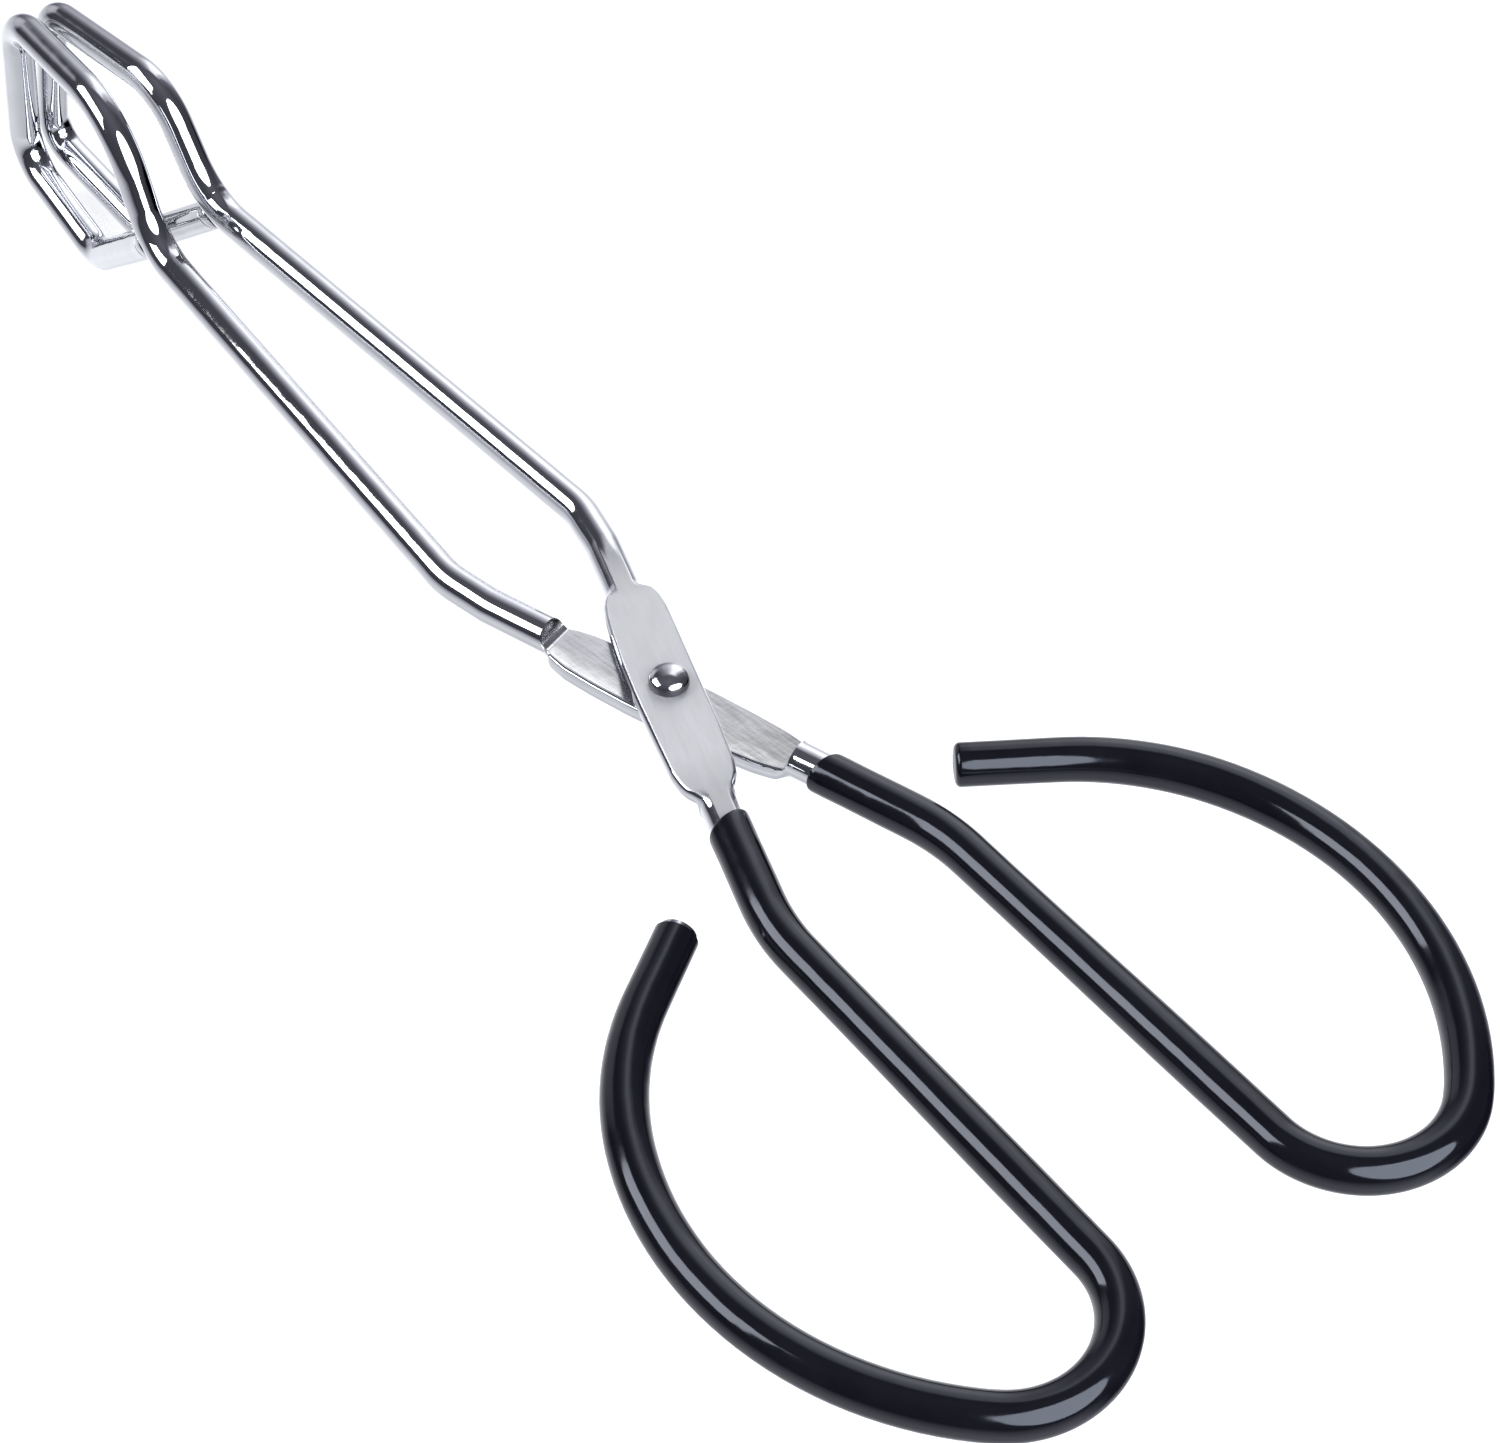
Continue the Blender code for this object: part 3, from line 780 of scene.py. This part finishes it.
def upper_steel():
    """Polished rod whose pressed blade face is rubbed to an even satin along its length."""
    n, worked, colour, roughness, height = steel_base("polished_steel_satin_face")
    lengthwise = n.turned(-BLADE_ANGLE)
    grain = n.noise(lengthwise, (260, 3800, 900), detail=4.0, rough=0.6)
    clouds = n.noise(lengthwise, (90, 240, 240), detail=3.0, distortion=0.4)
    tone = n.maths("ADD", n.ranged(grain, 0.0, 0.55), n.ranged(clouds, 0.0, 0.45))
    satin = n.mixed(tone, SATIN_DARK, SATIN_LIGHT)
    along = n.add("ShaderNodeSeparateXYZ", Vector=lengthwise).outputs["X"]
    # Painted shade: the satin face darkened towards the handle neck and towards the jaw neck
    satin = n.mixed(n.ranged(along, 0.55, 0.0, -0.021, -0.013), satin, NECK_SATIN_SHADE)
    satin = n.mixed(n.ranged(along, 0.0, 0.6, 0.017, 0.024), satin, NECK_SATIN_SHADE)
    flat = n.maths("MULTIPLY", grain, 0.012)
    relief = n.mixed(worked, height, flat)
    # The 'scale' attribute mixes in painted shade, a dark strip on the wall beside the lap
    scale = n.add("ShaderNodeAttribute", attribute_name="scale").outputs["Fac"]
    colour = n.mixed(scale, colour, PAINTED_STRIP_SHADE)
    return n.finish(n.mixed(worked, colour, satin),
                    n.mixed(worked, roughness, n.ranged(grain, 0.54, 0.62)),
                    n.bump(relief, STEEL_RELIEF))


def lower_steel():
    """Polished rod whose half-lap is a filed face, scored mostly along the blade."""
    n, worked, colour, roughness, height = steel_base("polished_steel_brushed_lap")
    lengthwise = n.turned(BLADE_ANGLE)
    strokes = n.noise(n.turned(math.radians(9), lengthwise), (170, 2300, 900), detail=5.0, rough=0.7,
                      distortion=0.25)
    arcs = n.noise(n.turned(math.radians(-58), lengthwise), (260, 1500, 900), detail=3.0, distortion=1.6)
    patches = n.noise(lengthwise, (150, 420, 420), detail=3.0, rough=0.6, distortion=1.0)
    tone = n.maths("ADD", n.ranged(strokes, 0.0, 0.55), n.ranged(arcs, 0.0, 0.2, 0.35, 0.75))
    tone = n.maths("ADD", tone, n.ranged(patches, 0.0, 0.35))
    along = n.add("ShaderNodeSeparateXYZ", Vector=lengthwise).outputs["X"]
    # Painted light: the filed lap made lighter towards the jaw end and darker towards the handle end
    tone = n.maths("ADD", tone, n.ranged(along, -0.18, 0.42, -0.016, 0.016))
    filed = n.mixed(tone, FILED_DARK, FILED_LIGHT)
    score = n.maths("ADD", n.maths("MULTIPLY", strokes, 0.13), n.maths("MULTIPLY", arcs, 0.09))
    relief = n.mixed(worked, height, score)
    return n.finish(n.mixed(worked, colour, filed),
                    n.mixed(worked, roughness, n.ranged(strokes, 0.24, 0.15)),
                    n.bump(relief, STEEL_RELIEF))


def rivet_steel():
    """Polished rivet with faint turning rings and specks; its side wall is darkened to match the photo."""
    n = Nodes("polished_rivet", 1.0)
    specks = n.noise(n.where, 900, detail=4.0, rough=0.6)
    level = n.add("ShaderNodeVectorMath", operation="MULTIPLY", Vector=n.where)
    level.inputs[1].default_value = (1.0, 1.0, 0.0)
    from_axis = n.add("ShaderNodeVectorMath", operation="LENGTH", Vector=level.outputs[0]).outputs["Value"]
    rings = n.maths("SINE", n.maths("MULTIPLY", from_axis, 2 * math.pi / RIVET_RING_PITCH))
    height = n.maths("ADD", n.noise(n.where, 430, detail=1.0), n.maths("MULTIPLY", rings, 0.004))
    up = n.add("ShaderNodeSeparateXYZ", Vector=n.where).outputs["Z"]
    # Painted shade: below the dome's shoulder the head's side wall, the pin and the tail are darkened
    wall = n.ranged(up, 1.0, 0.0, *RIVET_WALL_FADE)
    colour = n.mixed(n.ranged(specks, 0.0, 1.0), RIVET_DULL, RIVET_CLEAN)
    return n.finish(n.mixed(wall, colour, RIVET_WALL_SHADE),
                    n.mixed(wall, n.ranged(specks, 0.1, 0.05), 0.3),
                    n.bump(height, RIVET_RELIEF))


def weld_steel():
    """Weld metal: patches of slightly duller steel with a fine ripple."""
    n = Nodes("weld_steel", 1.0)
    patches = n.noise(n.where, 520, detail=3.0, distortion=0.8)
    ripple = n.noise(n.where, 1500, detail=2.0)
    colour = n.mixed(n.ranged(patches, 0.0, 1.0), WELD_DULL, WELD_CLEAN)
    return n.finish(colour, n.ranged(ripple, 0.06, 0.14), n.bump(ripple, WELD_RELIEF))


def black_vinyl():
    """Dipped vinyl: glossy blue-black skin with a soft orange-peel surface and a few dull smears."""
    n = Nodes("black_vinyl", 0.0)
    n.shader.inputs["Specular Tint"].default_value = (0.86, 0.9, 1.0, 1.0)
    body = n.noise(n.where, 110, detail=3.0, rough=0.6)
    skin = n.noise(n.where, 620, detail=4.0, rough=0.6)
    height = n.maths("ADD", n.noise(n.where, 190, detail=1.0), n.maths("MULTIPLY", skin, 0.05))
    return n.finish(n.mixed(n.ranged(body, 0.0, 1.0), VINYL_DARK, VINYL_LIGHT),
                    n.ranged(skin, 0.075, 0.125),
                    n.bump(height, VINYL_RELIEF))


def build_materials():
    """One finish for each kind of surface."""
    return {"upper": upper_steel(), "lower": lower_steel(), "rivet": rivet_steel(), "weld": weld_steel(),
            "vinyl": black_vinyl()}


# ---------------------------------------------------------------- stage
FLOOR_REACH = 4.0  # metres
FLOOR_GAP = 0.0003
FLOOR_GLOW, FLOOR_GLOW_STRENGTH = (0.97, 0.97, 0.98, 1), 0.65


def build_stage():
    """A pale floor just under the tongs, partly self-lit and left out of reflections."""
    mesh = bpy.data.meshes.new("floor")
    reach, level = FLOOR_REACH, cad_box[0][2] - FLOOR_GAP
    mesh.from_pydata([(-reach, -reach, level), (reach, -reach, level), (reach, reach, level),
                      (-reach, reach, level)], [], [(0, 1, 2, 3)])
    floor = bpy.data.objects.new("floor", mesh)
    bpy.context.scene.collection.objects.link(floor)
    n = Nodes("floor_paint", 0.0)
    mottle = n.noise(n.where, 60, detail=3.0)
    n.shader.inputs["Emission Color"].default_value = FLOOR_GLOW
    n.shader.inputs["Emission Strength"].default_value = FLOOR_GLOW_STRENGTH
    mesh.materials.append(n.finish(n.mixed(n.ranged(mottle, 0.0, 1.0), FLOOR_DARK, FLOOR_LIGHT),
                                   n.ranged(mottle, 0.85, 0.95), n.bump(mottle, FLOOR_RELIEF)))
    floor.visible_glossy = False


# The photograph's camera, recovered from the tongs: its place in millimetres and its three directions
CAMERA_AT = (-273.230, 186.883, 351.522)
CAMERA_RIGHT = (-0.601951, -0.798423, -0.013247)
CAMERA_DOWN = (-0.577367, 0.446633, -0.683496)
CAMERA_AHEAD = (0.551635, -0.403783, -0.729834)
SENSOR_WIDTH, FOCAL_LENGTH = 36.0, 86.88
CLIP_START, CLIP_END = 0.01, 20.0


def build_camera():
    """The scene's camera, set where the photograph was taken from."""
    camera = bpy.data.cameras.new("camera")
    camera.sensor_width = SENSOR_WIDTH
    camera.lens = FOCAL_LENGTH
    camera.clip_start, camera.clip_end = CLIP_START, CLIP_END
    holder = bpy.data.objects.new("camera", camera)
    columns = (CAMERA_RIGHT, [-c for c in CAMERA_DOWN], [-c for c in CAMERA_AHEAD])
    turn = Matrix(columns).transposed().to_4x4()
    turn.translation = [c * MM for c in CAMERA_AT]
    holder.matrix_world = turn
    bpy.context.scene.collection.objects.link(holder)
    bpy.context.scene.camera = holder


# The camera's heading on the level, and its right
AHEAD = (0.8070, -0.5906, 0.0)
RIGHT = (-0.5906, -0.8070, 0.0)

# Softboxes as the object sees them: azimuth from straight ahead of the camera, elevation,
# width, height and roll (all in degrees), shape, radiance and colour
SOFTBOXES = {
    "key": (-89.5, 37.0, 41.0, 32.0, 12.0, "RECTANGLE", 6.6, (0.93, 0.95, 1.0)),
    "fill": (141.0, 37.0, 62.0, 62.0, 0.0, "DISK", 5.6, (0.86, 0.91, 1.0)),
}
SOFTBOX_DISTANCE = 1.5
# The rest of the studio, as (degrees, brightness) along azimuth or elevation
PANEL_ACROSS = ((-36, 0.0), (-28, 0.04), (-17, 0.15), (-6, 0.34), (2, 0.58), (9, 1.0), (23, 1.0), (28, 0.5),
                (34, 0.34), (37, 0.1), (52, 0.03), (60, 0.0))
PANEL_UP = ((-14, 0.25), (0, 0.42), (12, 0.7), (22, 1.0), (32, 0.88), (42, 0.76), (57, 0.62), (61, 0.14),
            (66, 0.0))
PANEL_GAIN = 2.0
SCREEN_ACROSS = ((-64, 0.0), (-54, 0.6), (-40, 0.72), (-31, 0.6), (-22, 0.0))
SCREEN_UP = ((-12, 0.4), (-4, 0.9), (16, 1.0), (26, 0.85), (32, 0.0))
TABLE_UP = ((-90, 0.8), (-60, 0.85), (-42, 1.08), (-25, 0.92), (-13, 0.6), (-6, 0.3), (-1, 0.0))
DARK_SIDE = ((40, 0.0), (58, 1.0), (105, 1.0), (130, 0.0))
DARK_UP = ((-58, 0.0), (-34, 1.0))
ROOM_UP = ((-4, 0.0), (2, 0.08), (40, 0.1), (62, 0.14), (90, 0.2))
# Tints of its dim and bright parts, and the plain backdrop that the camera sees instead
DIM_TINT, BRIGHT_TINT = (0.80, 0.80, 1.0, 1), (0.93, 0.945, 1.0, 1)
BACKDROP = (0.93, 0.93, 0.94, 1)


def seen_from(azimuth, elevation):
    """A unit vector from the object, by angles about the camera's own heading."""
    azimuth, elevation = math.radians(azimuth), math.radians(elevation)
    level = math.cos(azimuth) * np.array(AHEAD) + math.sin(azimuth) * np.array(RIGHT)
    return math.cos(elevation) * level + math.sin(elevation) * np.array((0.0, 0.0, 1.0))


def build_softboxes():
    """Area lights that the camera doesn't see, facing the tongs from their places in SOFTBOXES."""
    for name, (azimuth, elevation, width, height, roll, shape, radiance, colour) in SOFTBOXES.items():
        lamp = bpy.data.lights.new(name, "AREA")
        lamp.shape = shape
        lamp.size = 2 * SOFTBOX_DISTANCE * math.tan(math.radians(width / 2))
        lamp.size_y = 2 * SOFTBOX_DISTANCE * math.tan(math.radians(height / 2))
        fill = 1.0 if shape == "RECTANGLE" else math.pi / 4
        lamp.energy = radiance * math.pi * fill * lamp.size * lamp.size_y
        lamp.color = colour
        holder = bpy.data.objects.new(name, lamp)
        way = Vector(seen_from(azimuth, elevation))
        holder.location = way * SOFTBOX_DISTANCE
        turn = way.to_track_quat("Z", "Y") @ Quaternion((0, 0, 1), math.radians(roll))
        holder.rotation_euler = turn.to_euler()
        holder.visible_camera = False
        bpy.context.scene.collection.objects.link(holder)


def build_world():
    """A dark studio with a bright panel and a screen ahead and a pale table below, for reflections."""
    world = bpy.data.worlds.new("studio")
    world.use_nodes = True
    tree = world.node_tree

    def node(kind, operation=None, *inputs):
        made = tree.nodes.new(kind)
        if operation:
            made.operation = operation
        for slot_number, value in enumerate(inputs):
            if isinstance(value, bpy.types.NodeSocket):
                tree.links.new(value, made.inputs[slot_number])
            elif value is not None:
                made.inputs[slot_number].default_value = value
        return made

    def maths(operation, *inputs):
        return node("ShaderNodeMath", operation, *inputs).outputs[0]

    def profile(source, span, stops):
        """Brightness along an angle that runs 0 to 1 over span degrees, with 0 degrees at its middle."""
        made = node("ShaderNodeValToRGB")
        elements = made.color_ramp.elements
        for _ in stops[2:]:
            elements.new(0.5)
        for element, (degrees, brightness) in zip(elements, stops):
            element.position = degrees / span + 0.5
            element.color = (brightness, brightness, brightness, 1)
        tree.links.new(source, made.inputs[0])
        return made.outputs[0]

    direction = node("ShaderNodeTexCoord").outputs["Generated"]
    ahead = node("ShaderNodeVectorMath", "DOT_PRODUCT", direction, AHEAD).outputs["Value"]
    right = node("ShaderNodeVectorMath", "DOT_PRODUCT", direction, RIGHT).outputs["Value"]
    height = node("ShaderNodeSeparateXYZ", None, direction).outputs["Z"]
    azimuth = maths("MULTIPLY_ADD", maths("ARCTAN2", right, ahead), 0.5 / math.pi, 0.5)
    elevation = maths("MULTIPLY_ADD", maths("ARCSINE", height), 1 / math.pi, 0.5)
    panel = maths("MULTIPLY", profile(azimuth, 360, PANEL_ACROSS), profile(elevation, 180, PANEL_UP))
    dark = maths("MULTIPLY", profile(azimuth, 360, DARK_SIDE), profile(elevation, 180, DARK_UP))
    table = maths("MULTIPLY", profile(elevation, 180, TABLE_UP), maths("SUBTRACT", 1.0, dark))
    screen = maths("MULTIPLY", profile(azimuth, 360, SCREEN_ACROSS), profile(elevation, 180, SCREEN_UP))
    room = maths("ADD", screen, profile(elevation, 180, ROOM_UP))
    light = maths("MULTIPLY_ADD", panel, PANEL_GAIN, maths("ADD", table, room))
    tint = node("ShaderNodeMix")
    tint.data_type = "RGBA"
    tree.links.new(maths("MINIMUM", light, 1.0), tint.inputs[0])
    tint.inputs[6].default_value = DIM_TINT
    tint.inputs[7].default_value = BRIGHT_TINT
    shade = node("ShaderNodeVectorMath", "SCALE", tint.outputs[2])
    tree.links.new(light, shade.inputs["Scale"])
    backdrop = node("ShaderNodeMix")
    backdrop.data_type = "RGBA"
    tree.links.new(node("ShaderNodeLightPath").outputs["Is Camera Ray"], backdrop.inputs[0])
    tree.links.new(shade.outputs[0], backdrop.inputs[6])
    backdrop.inputs[7].default_value = BACKDROP
    tree.links.new(backdrop.outputs[2], tree.nodes["Background"].inputs[0])
    bpy.context.scene.world = world


def build_light():
    """Softboxes, surroundings and a plain view transform."""
    build_softboxes()
    build_world()
    bpy.context.scene.view_settings.view_transform = "Standard"


# ---------------------------------------------------------------- assembly
def main():
    """Build every piece, tie it to its body, hide the CAD node it stands in for, and set the stage round
    it.
    """
    looks = build_materials()
    for arm in ("lower", "upper"):
        body = f"{arm}_half"
        rod = build_arm(arm, looks[arm])
        grip = build_grip(arm, looks["vinyl"])
        weld = build_weld(arm, looks["weld"])
        for piece, node, slot in ((rod, f"{arm}_arm", "polished_steel"),
                                  (grip, f"{arm}_grip", "black_vinyl"),
                                  (weld, f"{arm}_jaw_weld", "weld_steel")):
            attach(piece, body)
            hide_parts(node)
    rivet = build_rivet(looks["rivet"])
    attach(rivet, "lower_half")
    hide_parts("pivot_rivet")
    build_stage()
    build_camera()
    build_light()


main()
